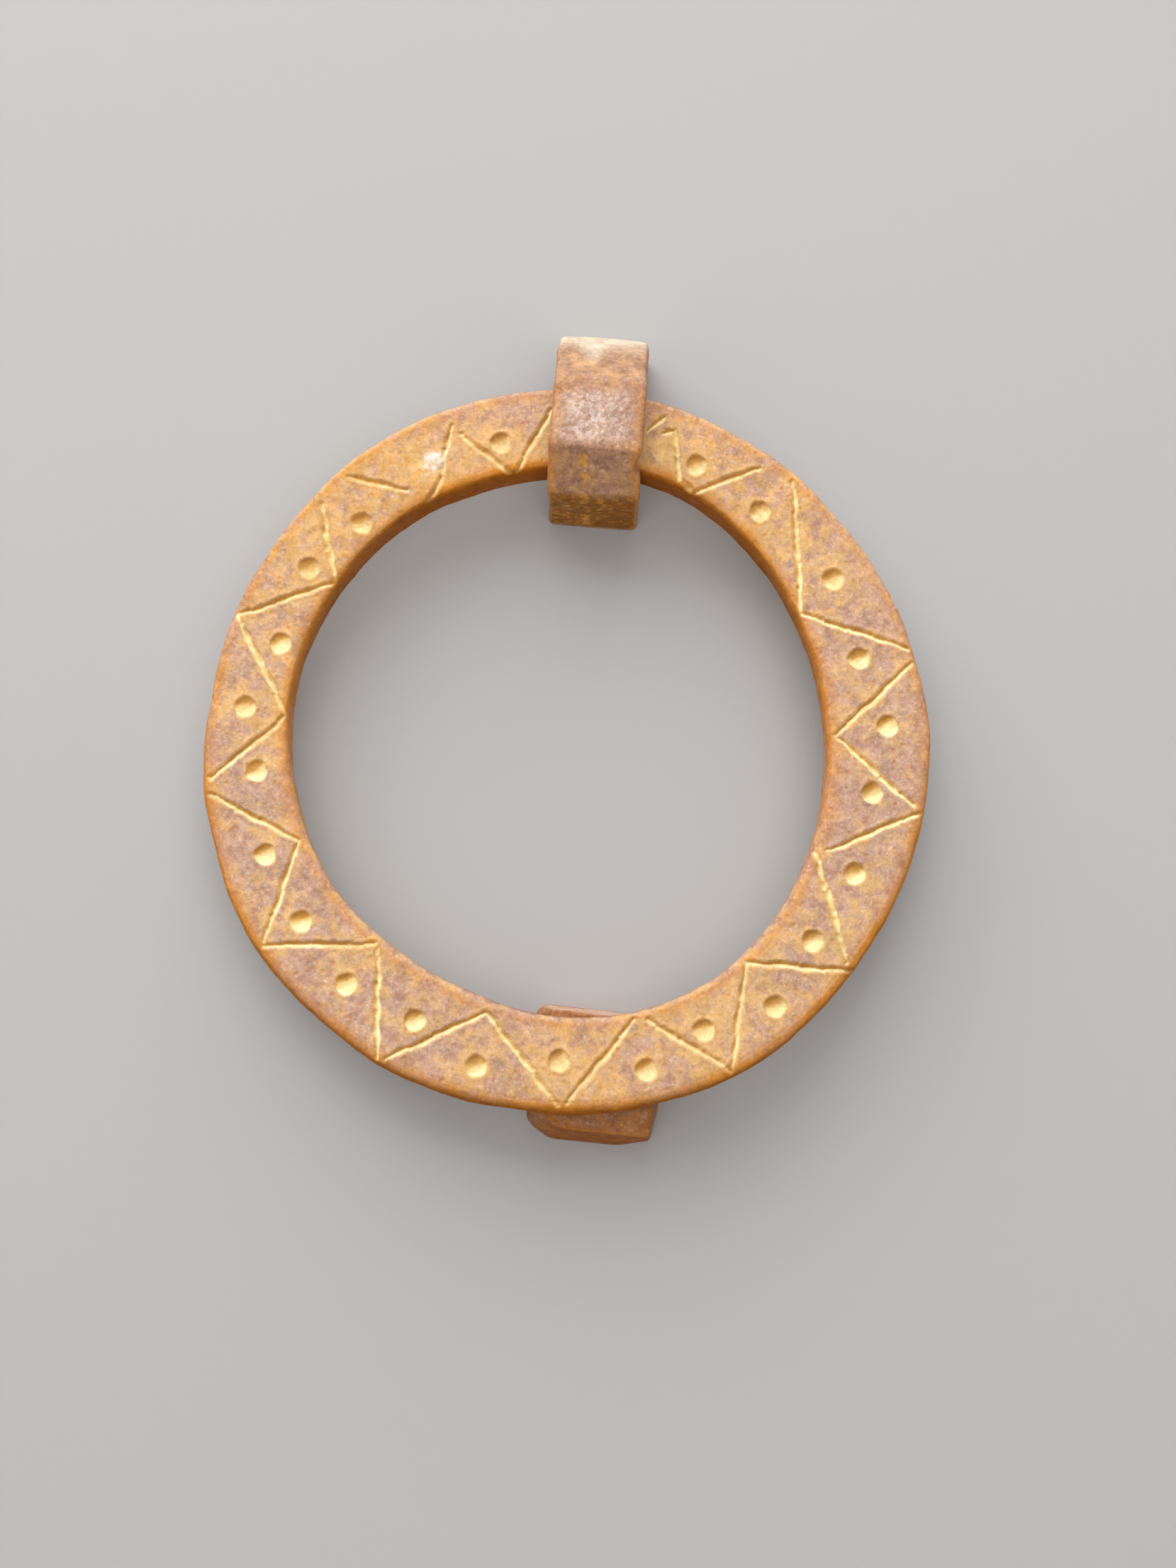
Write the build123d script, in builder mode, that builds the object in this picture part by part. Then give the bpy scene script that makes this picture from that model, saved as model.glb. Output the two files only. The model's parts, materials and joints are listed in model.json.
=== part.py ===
from build123d import *
import os
from math import cos, hypot, radians, sin, sqrt

# A hand-forged ring knocker for a wooden door.
# A flat iron ring hangs in a strap that is bent round its top, and strikes a stud below.
# The strap ends in two threaded tails and the stud in one. They pass through the door and
# are held on its inner side by plates, washers and square nuts.
#
# Millimetres. The door's outer face is Y = 0 and the door fills Y = 0 to door_thickness.
# The knocker's front faces -Y, and +Z is up.
# The origin is on the door's outer face, midway between the strap's two tails.

os.makedirs("parts", exist_ok=True)

# Door
door_thickness = 45.0
thinnest_door = 40.0  # the plain shanks end short of this, so the nuts still clamp

# Ring
ring_outer_r = 60.6  # mean radii of the two hammered edges
ring_inner_r = 45.5
ring_thickness = 7.5
ring_edge_r = 1.4  # worn arrises
ring_x = -5.6  # the ring hangs to the left in its strap
# How far each hammered edge stands out from its mean radius, by clock angle in degrees.
outer_swell = {0: 0.7, 30: -0.1, 60: -0.6, 90: -0.4, 120: -0.6, 150: 0.4}
outer_swell |= {180: 0.1, 210: 0.1, 240: 0.3, 270: -0.7, 300: -0.6, 330: 0.5}
inner_swell = {-15: 1.5, 0: 1.9, 15: 2.5, 30: 1.7, 60: -1.5, 90: -2.2, 120: -1.1, 150: 0.1}
inner_swell |= {180: -0.5, 210: -1.6, 240: -0.7, 270: 0.6, 300: 1.3, 330: 1.8}

# Strap
strap_width = 15.6
strap_thickness = 4.2
strap_edge_r = 0.9
strap_bend_r = 4.0
turn_gap = 0.2  # clearance round the ring's band as it turns over in the strap
eye_headroom = 7.0  # free height above the turning band
door_gap = 4.0  # between the turning band and the door
# The strap's bends, along the middle of its thickness: distances back from its nose, and
# down from its upper leg or up from its lower leg.
shoulder_bend_back = 14.1
upper_bend_back, upper_bend_down = 6.2, 5.4
nose_bend_down = 13.0
nose_bend_up = 5.3
lower_bend_back = 6.0

# Strike stud
strike_x = -0.2
strike_below_ring = 53.9  # from the ring's centre down to the stud's centre
strike_gap = 0.3  # between the hanging ring and the stud's face
strike_base = (22.0, 21.4)
strike_face = (17.8, 19.9)
strike_lean = (0.8, 0.2)  # the face's centre from the base's centre
strike_turn = -6.0  # degrees, clockwise as seen from the front
strike_corner = 1.6
strike_edge_r = 0.9

# Fixings: plain shank, thread size and pitch, then washer and square nut
tail_shank_d = 5.0
tail_thread_size, tail_thread_pitch = 5.0, 0.8  # M5
tail_washer_d, tail_washer_bore, tail_washer_t = 10.0, 5.3, 1.0
tail_nut_side, tail_nut_t = 8.0, 4.0
stud_shank_d = 8.0
stud_thread_size, stud_thread_pitch = 8.0, 1.25  # M8
stud_washer_d, stud_washer_bore, stud_washer_t = 16.0, 8.4, 1.6
stud_nut_side, stud_nut_t = 13.0, 6.5
groove_length = 1.5
thread_clearance = 0.06  # radial, between a drawn thread and its nut
thread_past_nut = 3.0
tip_chamfer = 0.7

# Rear plates
plate_thickness = 3.0
hanger_plate_width = 20.0
hanger_plate_overhang = 11.0  # beyond each tail's centre
strike_plate_side = 36.0
plate_hole_clearance = 0.5  # on diameter
plate_corner_r = 2.5
plate_chamfer = 0.5


# Worked out from the sizes above.
def swollen(radius, swell, clock):
    """A point of a hammered edge, from the ring's centre."""
    r = radius + swell[clock]
    return (r * sin(radians(clock)), r * cos(radians(clock)))


band_top = ring_outer_r + outer_swell[0]
eye_side = strap_width / 2 - ring_x  # the strap's far side, from the ring's centre
band_bottom = sqrt((ring_inner_r + inner_swell[15]) ** 2 - eye_side**2)
band_half = (band_top - band_bottom) / 2
# The farthest that the band's rounded corners reach from its middle as it turns.
band_reach = ring_edge_r + hypot(band_half - ring_edge_r, ring_thickness / 2 - ring_edge_r)

leg_spacing = round(2 * (band_reach + turn_gap) + eye_headroom + strap_thickness, 1)
leg_z = leg_spacing / 2
eye_floor_z = -leg_z + strap_thickness / 2
axis_z = eye_floor_z + turn_gap + band_reach
axis_y = -(door_gap + band_reach)
nose_y = axis_y - band_reach - turn_gap - strap_thickness / 2
ring_z = axis_z - (band_top + band_bottom) / 2
ring_back_y = axis_y + ring_thickness / 2
strike_z = ring_z - strike_below_ring
strike_height = -(ring_back_y + strike_gap)
shank_end_y = thinnest_door - groove_length - 0.5
plate_back_y = door_thickness + plate_thickness


def pitch_diameter(size, pitch):
    """The diameter that a thread is drawn at, as a plain cylinder."""
    return size - 0.65 * pitch


def facing_out(y):
    """The plane at this depth as seen from the front: X to the right, Z up."""
    return Plane.XZ.offset(-y)


def tail_steps(shank_d, thread_size, thread_pitch, tip_y):
    """Start, end and diameter of a tail's plain shank, run-out groove and thread."""
    groove_end_y = shank_end_y + groove_length
    return (
        (0.0, shank_end_y, shank_d),
        (shank_end_y, groove_end_y, thread_size - 1.25 * thread_pitch),
        (groove_end_y, tip_y, pitch_diameter(thread_size, thread_pitch)),
    )


def rear_plate(x, z, width, height, holes, hole_d):
    """A forged plate on the door's inner face, with its edges broken."""
    with BuildPart() as plate:
        with BuildSketch(facing_out(door_thickness)):
            with Locations((x, z)):
                RectangleRounded(width, height, plate_corner_r)
        extrude(amount=-plate_thickness)
        chamfer(plate.faces().sort_by(Axis.Y)[-1].outer_wire().edges(), plate_chamfer)
        with BuildSketch(facing_out(door_thickness)):
            with Locations(*holes):
                Circle(hole_d / 2)
        extrude(amount=-plate_thickness, mode=Mode.SUBTRACT)
    return plate.part


def washer(x, z, outer_d, bore_d, thickness):
    """A flat washer on the back of a rear plate."""
    with BuildPart() as ring:
        with BuildSketch(facing_out(plate_back_y)):
            with Locations((x, z)):
                Circle(outer_d / 2)
                Circle(bore_d / 2, mode=Mode.SUBTRACT)
        extrude(amount=-thickness)
    return ring.part


def square_nut(x, z, seat_y, side, thickness, bore_d):
    """A square nut with its outer corners turned down."""
    corner_r = side / 2 * sqrt(2)
    turned_r = side / 2 * 0.98
    turned_h = (corner_r - turned_r) * 0.577  # a 30 degree chamfer
    with BuildPart() as nut:
        with BuildSketch(facing_out(seat_y)):
            with Locations((x, z)):
                Rectangle(side, side)
        extrude(amount=-thickness)
        with BuildSketch(Plane.XY.offset(z)):
            with BuildLine():
                Polyline(
                    (x, seat_y),
                    (x + corner_r, seat_y),
                    (x + corner_r, seat_y + thickness - turned_h),
                    (x + turned_r, seat_y + thickness),
                    (x, seat_y + thickness),
                    close=True,
                )
            make_face()
        revolve(axis=Axis((x, 0, z), (0, 1, 0)), mode=Mode.INTERSECT)
        with BuildSketch(facing_out(seat_y)):
            with Locations((x, z)):
                Circle(bore_d / 2)
        extrude(amount=-thickness, mode=Mode.SUBTRACT)
    return nut.part


# Ring: two uneven edges, flat faces and rounded arrises.
with BuildPart() as knocker_ring:
    with BuildSketch(Plane((ring_x, ring_back_y, ring_z), x_dir=(1, 0, 0), z_dir=(0, -1, 0))):
        with BuildLine():
            Spline([swollen(ring_outer_r, outer_swell, c) for c in outer_swell], periodic=True)
        make_face()
        with BuildLine():
            Spline([swollen(ring_inner_r, inner_swell, c) for c in inner_swell], periodic=True)
        make_face(mode=Mode.SUBTRACT)
    extrude(amount=ring_thickness)
    fillet(knocker_ring.edges().filter_by(GeomType.BSPLINE), ring_edge_r)

# Staple: a flat strap bent round the ring's band, shouldered against the door, then two tails.
tail_seat_y = plate_back_y + tail_washer_t
tail_tip_y = tail_seat_y + tail_nut_t + thread_past_nut
with BuildPart() as hanger_staple:
    with BuildLine(Plane.YZ) as strap_run:
        FilletPolyline(
            (0, leg_z),
            (nose_y + shoulder_bend_back, leg_z),
            (nose_y + upper_bend_back, leg_z - upper_bend_down),
            (nose_y, leg_z - nose_bend_down),
            (nose_y, -leg_z + nose_bend_up),
            (nose_y + lower_bend_back, -leg_z),
            (0, -leg_z),
            radius=strap_bend_r,
        )
    with BuildSketch(facing_out(0)):
        with Locations((0, leg_z)):
            RectangleRounded(strap_width, strap_thickness, strap_edge_r)
    sweep()
    for start_y, end_y, diameter in tail_steps(
        tail_shank_d, tail_thread_size, tail_thread_pitch, tail_tip_y
    ):
        with BuildSketch(facing_out(start_y)):
            with Locations((0, leg_z), (0, -leg_z)):
                Circle(diameter / 2)
        extrude(amount=start_y - end_y)
    chamfer(hanger_staple.faces().sort_by(Axis.Y)[-2:].edges(), tip_chamfer)

# Strike stud: a squared head that tapers from the door to its face, then one tail.
stud_seat_y = plate_back_y + stud_washer_t
stud_tip_y = stud_seat_y + stud_nut_t + thread_past_nut
with BuildPart() as strike_stud:
    face_centre = (strike_x + strike_lean[0], strike_z + strike_lean[1])
    for y, centre, size in (
        (0, (strike_x, strike_z), strike_base),
        (-strike_height, face_centre, strike_face),
    ):
        with BuildSketch(facing_out(y)) as outline:
            with Locations(centre):
                Rectangle(*size, rotation=strike_turn)
            chamfer(outline.vertices(), strike_corner)
    loft()
    fillet(strike_stud.faces().sort_by(Axis.Y)[0].edges(), strike_edge_r)
    for start_y, end_y, diameter in tail_steps(
        stud_shank_d, stud_thread_size, stud_thread_pitch, stud_tip_y
    ):
        with BuildSketch(facing_out(start_y)):
            with Locations((strike_x, strike_z)):
                Circle(diameter / 2)
        extrude(amount=start_y - end_y)
    chamfer(strike_stud.faces().sort_by(Axis.Y)[-1].edges(), tip_chamfer)

knocker_ring.part.label = "knocker_ring"
hanger_staple.part.label = "hanger_staple"
strike_stud.part.label = "strike_stud"
export_step(knocker_ring.part, "parts/knocker_ring.step")
export_step(hanger_staple.part, "parts/hanger_staple.step")
export_step(strike_stud.part, "parts/strike_stud.step")

# Rear plates, washers and nuts.
hanger_plate_height = leg_spacing + 2 * hanger_plate_overhang
fixings = {
    "hanger_rear_plate": rear_plate(
        0,
        0,
        hanger_plate_width,
        hanger_plate_height,
        [(0, leg_z), (0, -leg_z)],
        tail_thread_size + plate_hole_clearance,
    ),
    "strike_rear_plate": rear_plate(
        strike_x,
        strike_z,
        strike_plate_side,
        strike_plate_side,
        [(strike_x, strike_z)],
        stud_thread_size + plate_hole_clearance,
    ),
    "strike_washer": washer(
        strike_x, strike_z, stud_washer_d, stud_washer_bore, stud_washer_t
    ),
    "strike_nut": square_nut(
        strike_x,
        strike_z,
        stud_seat_y,
        stud_nut_side,
        stud_nut_t,
        pitch_diameter(stud_thread_size, stud_thread_pitch) + 2 * thread_clearance,
    ),
}
for place, z in (("upper", leg_z), ("lower", -leg_z)):
    fixings[f"{place}_tail_washer"] = washer(
        0, z, tail_washer_d, tail_washer_bore, tail_washer_t
    )
    fixings[f"{place}_tail_nut"] = square_nut(
        0,
        z,
        tail_seat_y,
        tail_nut_side,
        tail_nut_t,
        pitch_diameter(tail_thread_size, tail_thread_pitch) + 2 * thread_clearance,
    )
for name, fixing in fixings.items():
    fixing.label = name
    export_step(fixing, f"parts/{name}.step")
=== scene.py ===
# %% [markdown]
# # A ring door knocker in forged iron
#
# The knocker is a flat iron ring that hangs in a strap and falls against a stud. Its face is
# chased with a zigzag and punched with dots, and all of it has rusted to mauve and ochre.
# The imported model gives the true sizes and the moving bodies. This lesson gives it its looks.
# Everything is in metres in the end, but lengths below are written in millimetres, as a smith
# would, and multiplied by MM once, when a mesh is made.

# %% Load the frame
import json
from math import cos, pi, radians, sin, tau

import bmesh
import bpy
import numpy as np
from mathutils import Matrix, Vector, noise
from mathutils.bvhtree import BVHTree


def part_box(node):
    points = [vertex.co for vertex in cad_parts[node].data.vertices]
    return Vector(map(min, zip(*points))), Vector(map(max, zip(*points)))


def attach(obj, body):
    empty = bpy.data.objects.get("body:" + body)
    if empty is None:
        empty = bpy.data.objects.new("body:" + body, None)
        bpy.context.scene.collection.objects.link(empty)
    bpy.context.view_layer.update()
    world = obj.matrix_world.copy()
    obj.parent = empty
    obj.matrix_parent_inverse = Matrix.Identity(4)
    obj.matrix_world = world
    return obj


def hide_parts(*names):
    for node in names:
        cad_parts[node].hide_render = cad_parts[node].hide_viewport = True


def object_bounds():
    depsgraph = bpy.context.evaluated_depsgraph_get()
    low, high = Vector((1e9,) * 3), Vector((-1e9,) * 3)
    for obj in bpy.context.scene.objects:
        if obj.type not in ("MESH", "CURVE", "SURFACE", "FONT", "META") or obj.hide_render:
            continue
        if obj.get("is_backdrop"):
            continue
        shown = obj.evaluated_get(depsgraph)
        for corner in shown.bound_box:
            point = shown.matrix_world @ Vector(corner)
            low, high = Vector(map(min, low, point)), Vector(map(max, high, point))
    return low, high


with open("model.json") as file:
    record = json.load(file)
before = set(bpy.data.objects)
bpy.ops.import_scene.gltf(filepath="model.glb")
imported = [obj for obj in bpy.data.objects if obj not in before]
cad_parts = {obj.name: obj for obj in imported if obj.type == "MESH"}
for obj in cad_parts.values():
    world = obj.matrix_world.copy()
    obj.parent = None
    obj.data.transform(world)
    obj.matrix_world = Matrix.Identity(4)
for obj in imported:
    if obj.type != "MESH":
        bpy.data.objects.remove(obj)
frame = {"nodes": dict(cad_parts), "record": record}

MM = 0.001
cad_low, cad_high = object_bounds()
print("CAD box, mm:", [round(v / MM, 1) for v in (*cad_low, *cad_high)])

# %% [markdown]
# ## The camera
# The knocker hangs above the lens, so the camera stands level with the bottom of the ring and
# looks up by about ten degrees. A normal lens close to the door gives the slight widening of
# the near parts.

# %% Camera
eye = Vector((-2.0, -347.0, -119.65)) * MM
look_up = 9.5
roll = 0.4
focal_length = 46.87

camera_data = bpy.data.cameras.new("camera")
camera_data.lens = focal_length
camera_data.sensor_width = 36.0
camera_data.clip_start = 10 * MM
camera = bpy.data.objects.new("camera", camera_data)
turn = Matrix.Rotation(radians(90 + look_up), 4, "X") @ Matrix.Rotation(radians(roll), 4, "Z")
camera.matrix_world = Matrix.Translation(eye) @ turn
bpy.context.scene.collection.objects.link(camera)
bpy.context.scene.camera = camera
print("camera looks along", [round(v, 3) for v in -turn.col[2].xyz])

# %% [markdown]
# ## Two helpers for nodes
# Materials are built from nodes. A node's input takes either a plain value or the output of
# another node, so one helper places a node and fills its inputs in either way. A colour is
# easiest to choose as it looks on a screen, so a second helper turns that into light.


# %% Node helpers
def place(tree, kind, inputs=None, **settings):
    """Adds a node. Each input is a plain value, or another node's output, which is joined."""
    node = tree.nodes.new(kind)
    for name, value in settings.items():
        setattr(node, name, value)
    for name, value in (inputs or {}).items():
        if isinstance(value, bpy.types.NodeSocket):
            tree.links.new(value, node.inputs[name])
        else:
            node.inputs[name].default_value = value
    return node


def new_finish(name):
    """An empty material, with its nodes and its shader."""
    material = bpy.data.materials.new(name)
    material.use_nodes = True
    return material, material.node_tree, material.node_tree.nodes["Principled BSDF"]


def colour(red, green, blue):
    """A colour as it looks on a screen, 0 to 255, as the light that Blender works in."""
    # The numbers are the sRGB standard's.
    shares = [c / 255 for c in (red, green, blue)]
    return (*[s / 12.92 if s <= 0.04045 else ((s + 0.055) / 1.055) ** 2.4 for s in shares], 1.0)


def blend(tree, share, under, over):
    """Lays one colour over another, by a share from 0 to 1."""
    share_socket, under_socket, over_socket, colour_out = 0, 6, 7, 2  # a Mix node's own numbering
    inputs = {share_socket: share, under_socket: under, over_socket: over}
    return place(tree, "ShaderNodeMix", inputs, data_type="RGBA").outputs[colour_out]


def maths(tree, operation, *values, clamp=False):
    """One step of arithmetic on plain numbers or outputs."""
    inputs = dict(enumerate(values))
    return place(tree, "ShaderNodeMath", inputs, operation=operation, use_clamp=clamp).outputs[0]


def new_group(name, inputs, output):
    """An empty node group whose sockets are plain numbers, and its two end nodes."""
    tree = bpy.data.node_groups.new(name, "ShaderNodeTree")
    for socket, start in inputs.items():
        made = tree.interface.new_socket(name=socket, in_out="INPUT", socket_type="NodeSocketFloat")
        made.default_value = start
    tree.interface.new_socket(name=output, in_out="OUTPUT", socket_type="NodeSocketFloat")
    return tree, tree.nodes.new("NodeGroupInput"), tree.nodes.new("NodeGroupOutput")


def use_group(tree, group, inputs):
    """Places a node group with its own values, and hands on its output."""
    return place(tree, "ShaderNodeGroup", inputs, node_tree=group).outputs[0]


print("node helpers ready")

# %% [markdown]
# ## The stage
# A knocker has to hang on something. A plain pale wall stands where the door would be, and a
# plain floor lies below. The wall is only there for whoever looks at its front: from behind it
# lets the view through, so that the plates and nuts on the inner side can be seen too.

# %% Wall and floor
wall_size = 3.0
floor_drop = 260 * MM
wall_tint = colour(182, 181, 180)
stage_roughness, stage_gloss = 0.9, 0.1


def flat_sheet(name, corners, material):
    """One flat face of the stage."""
    mesh = bpy.data.meshes.new(name)
    mesh.from_pydata(corners, [], [(0, 1, 2, 3)])
    mesh.materials.append(material)
    sheet = bpy.data.objects.new(name, mesh)
    bpy.context.scene.collection.objects.link(sheet)
    sheet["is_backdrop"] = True
    return sheet


def stage_material(name, tint, one_sided):
    """A pale matt finish, which can let a view from behind through."""
    material, tree, shader = new_finish(name)
    shader.inputs["Base Color"].default_value = tint
    shader.inputs["Roughness"].default_value = stage_roughness
    shader.inputs["Specular IOR Level"].default_value = stage_gloss
    if one_sided:
        behind = place(tree, "ShaderNodeNewGeometry").outputs["Backfacing"]
        clear = place(tree, "ShaderNodeBsdfTransparent").outputs[0]
        mixed = place(tree, "ShaderNodeMixShader", {0: behind, 1: shader.outputs[0], 2: clear})
        tree.links.new(mixed.outputs[0], tree.nodes["Material Output"].inputs["Surface"])
    return material


half = wall_size / 2
square = [(-half, -half), (half, -half), (half, half), (-half, half)]
floor_z = cad_low.z - floor_drop
wall_finish = stage_material("pale_wall", wall_tint, one_sided=True)
floor_finish = stage_material("pale_floor", wall_tint, one_sided=False)
wall = flat_sheet("wall", [(a, 0, b) for a, b in square], wall_finish)
flat_sheet("floor", [(a, b, floor_z) for a, b in square], floor_finish)
print("wall faces", [round(v) for v in wall.data.polygons[0].normal])

# %% [markdown]
# ## The light
# The iron is read by its shading, so the light comes from above and a little from the left:
# it brightens the lower wall of each cut and leaves the upper one dark. One large softbox does
# this, a weak one in front opens the shadows, another stands for the light that the ground
# throws back up, and one behind serves views of the inner side.
# The world adds a pale, even glow.


# %% Lights
def softbox(name, place_mm, aim_mm, side_mm, power):
    """A square area light that looks at a point."""
    data = bpy.data.lights.new(name, "AREA")
    data.shape = "SQUARE"
    data.size = side_mm * MM
    data.energy = power
    lamp = bpy.data.objects.new(name, data)
    lamp.location = Vector(place_mm) * MM
    direction = Vector(aim_mm) * MM - lamp.location
    lamp.rotation_euler = direction.to_track_quat("-Z", "Y").to_euler()
    bpy.context.scene.collection.objects.link(lamp)
    return lamp


middle = (0, 0, -55)
softbox("key_light", (-230, -470, 780), middle, 1300, 17.0)
softbox("front_fill", (60, -950, 60), middle, 900, 2.6)
softbox("ground_bounce", (0, -600, -620), middle, 900, 5.2)
softbox("rear_light", (-350, 650, 420), middle, 600, 7.0)

glow_tint, glow_strength = (1.0, 0.985, 0.965, 1.0), 0.27
world = bpy.data.worlds.new("studio")
world.use_nodes = True
glow = world.node_tree.nodes["Background"]
glow.inputs["Color"].default_value = glow_tint
glow.inputs["Strength"].default_value = glow_strength
bpy.context.scene.world = world
bpy.context.scene.view_settings.view_transform = "Standard"

# %% [markdown]
# ## Lofting, hammering and marking
# Ring, strap and stud are all bars that change their section as they go, so each is a loft: a
# row of loops with the same number of points, joined by four-sided faces. The hammer is then
# imitated by moving each point along the surface's own normal, by smooth noise of several
# sizes. Values that the finish needs, such as how deep a point lies in a cut, are kept on the
# points as attributes, so that they stay with the metal when it moves.


# %% Mesh helpers
def loft(name, loops, closed):
    """A smooth mesh through loops of points in mm. An open loft gets a cap at each end."""
    stations, around = loops.shape[:2]
    rows = np.arange(stations if closed else stations - 1)
    here = rows[:, None] * around + np.arange(around)
    beside = rows[:, None] * around + np.roll(np.arange(around), -1)
    step = (rows[:, None] + 1) % stations * around - rows[:, None] * around
    faces = np.stack([here, beside, beside + step, here + step], axis=2).reshape(-1, 4).tolist()
    if not closed:
        faces.append(list(range(around)))
        faces.append(list(range((stations - 1) * around, stations * around)))
    mesh = bpy.data.meshes.new(name)
    mesh.from_pydata((loops.reshape(-1, 3) * MM).tolist(), [], faces)
    shaped = bmesh.new()
    shaped.from_mesh(mesh)
    bmesh.ops.recalc_face_normals(shaped, faces=shaped.faces)
    shaped.to_mesh(mesh)
    shaped.free()
    mesh.shade_smooth()
    piece = bpy.data.objects.new(name, mesh)
    bpy.context.scene.collection.objects.link(piece)
    return piece


def points_of(mesh):
    """The points and their normals, as rows of numbers, in mm."""
    places = np.zeros(len(mesh.vertices) * 3)
    mesh.vertices.foreach_get("co", places)
    normals = np.zeros(len(mesh.vertices) * 3)
    mesh.vertex_normals.foreach_get("vector", normals)
    return places.reshape(-1, 3) / MM, normals.reshape(-1, 3)


seed_shift = Vector((17.3, 5.1, 9.7))  # each seed reads the noise somewhere else


def ripple(points, size, seed):
    """Smooth uneven values, from about -1 to 1, whose swells are size mm apart."""
    shift = seed_shift * seed
    return np.array([noise.noise(Vector(p) / size + shift) for p in points.tolist()])


def move_points(piece, places):
    """Puts each point at its new place, in mm."""
    piece.data.vertices.foreach_set("co", (places * MM).ravel())
    piece.data.update()


def hammer(piece, marks, share):
    """Moves the surface in and out by marks of (size, depth, seed) in mm, where share allows."""
    places, normals = points_of(piece.data)
    push = sum(depth * ripple(places, size, seed) for size, depth, seed in marks)
    move_points(piece, places + normals * (push * share)[:, None])
    print(piece.name, "hammered by up to", round(float(np.abs(push * share).max()), 2), "mm")


def keep_value(piece, name, values):
    """Writes one number on each point, for the materials to read."""
    attribute = piece.data.attributes.new(name, "FLOAT", "POINT")
    attribute.data.foreach_set("value", np.asarray(values, np.float32))


light_from_left, light_from_above = 0.4, 0.9


def keep_slopes(piece, share=1.0):
    """Keeps how far each point's surface faces up and down, and how far it turns from the light."""
    across, _, rise = points_of(piece.data)[1].T * share
    keep_value(piece, "up", np.clip(rise, 0, 1))
    keep_value(piece, "under", np.clip(-rise, 0, 1))
    keep_value(piece, "lee", light_from_left * across - light_from_above * rise)


def bar_walk(front, back, wall_count, corner):
    """A walk round a bar's section with rounded arrises, from -1 to 1 each way.

    The first pair of numbers says where each point stands on the bar's inner rectangle, and
    the second which way its surface faces. The front is the side towards -1 of the second.
    """
    walk = [(s, -1, 0, -1) for s in np.linspace(-1, 1, front)]
    turns = [(1, -1, -90, wall_count), (1, 1, 0, back), (-1, 1, 90, wall_count), (-1, -1, 180, 0)]
    for side, depth, start, flat_count in turns:
        for k in range(1, corner + 1):
            angle = radians(start + 90 * k / (corner + 1))
            walk.append((side, depth, cos(angle), sin(angle)))
        facing = radians(start + 90)
        for s in np.linspace(-1, 1, flat_count):
            along_x = round(cos(facing)) == 0
            spot = (-s, 1) if along_x else (side, s if side > 0 else -s)
            walk.append((*spot, cos(facing), sin(facing)))
    return np.array(walk).T


def peak(offset, reach, power=2):
    """1 where the offset is 0, fading to 0 at about reach. A higher power gives a flatter top."""
    return np.exp(-((offset / reach) ** power))


def arris_share(across, out, to_arris, reach, wall_share):
    """How worn each point of a bar's walk is: fully on an arris, and less for reach mm beside it."""
    turned, flat = 0.01, 0.9  # how far a face turns on an arris, and on a flat side
    worn = np.where(np.abs(across * out) > turned, 1.0, np.exp(-to_arris / reach) * (np.abs(out) > flat))
    return np.where(np.abs(across) > flat, wall_share, worn)


print("mesh helpers ready")

# %% [markdown]
# ## The ring's blank
# The ring was cut or bent from flat iron about 15 mm wide and 7.5 mm thick, and neither edge is
# a true circle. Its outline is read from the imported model: rays from the centre find the inner
# edge, and rays from outside find the outer edge. The arrises are worn round, more in some
# places than in others.

# %% Measure the ring's outline
ring_low, ring_high = (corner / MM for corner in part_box("knocker_ring"))
ring_centre = (ring_low + ring_high) / 2
ring_thickness = ring_high.y - ring_low.y
ring_steps = 1440
clocks = np.arange(ring_steps) * tau / ring_steps

well_outside = 100  # mm from the ring's centre
cad_ring = frame["nodes"]["knocker_ring"].data
ring_points = [v.co / MM for v in cad_ring.vertices]
ring_tree = BVHTree.FromPolygons(ring_points, [p.vertices for p in cad_ring.polygons])


def edge_radius(clock, outside):
    """How far the ring's inner or outer edge lies from its centre, on the hour-hand's line."""
    outward = Vector((sin(clock), 0, cos(clock)))
    far = ring_centre + outward * well_outside
    start, way = (far, -outward) if outside else (ring_centre, outward)
    found = ring_tree.ray_cast(start, way)[0]
    return (found - ring_centre).length


inner_r = np.array([edge_radius(c, False) for c in clocks])
outer_r = np.array([edge_radius(c, True) for c in clocks])
ring_across, band_width = 2 * outer_r.mean(), (outer_r - inner_r).mean()
print("ring:", round(ring_across, 1), "mm across, band", round(band_width, 1), "mm wide")

# %% Loft the ring
arris_mean, arris_spread = 1.35, 0.45  # how round the arrises are worn
wear_reach, wear_swell = 60, 14  # and how far apart their worn places are, on a ring this wide
side, depth, face_x, face_y = bar_walk(front=64, back=18, wall_count=9, corner=7)
on_circle = np.stack([np.sin(clocks), np.zeros(ring_steps), np.cos(clocks)], axis=1)
band_half = (outer_r - inner_r) / 2
band_middle = (outer_r + inner_r) / 2


def arris_wear(seed):
    """The arris radius round the ring, as worn."""
    return arris_mean + arris_spread * ripple(on_circle * wear_reach, wear_swell, seed)


wear_inner, wear_outer = arris_wear(1), arris_wear(2)
wear = np.where(side[None, :] > 0, wear_outer[:, None], wear_inner[:, None])
radius = band_middle[:, None] + side * (band_half[:, None] - wear) + wear * face_x
sink = ring_centre.y + depth * (ring_thickness / 2 - wear) + wear * face_y
ring_x = ring_centre.x + radius * np.sin(clocks)[:, None]
ring_z = ring_centre.z + radius * np.cos(clocks)[:, None]
ring = loft("forged_ring", np.stack([ring_x, sink, ring_z], axis=2), closed=True)
print("ring blank:", len(ring.data.polygons), "faces")

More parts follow.
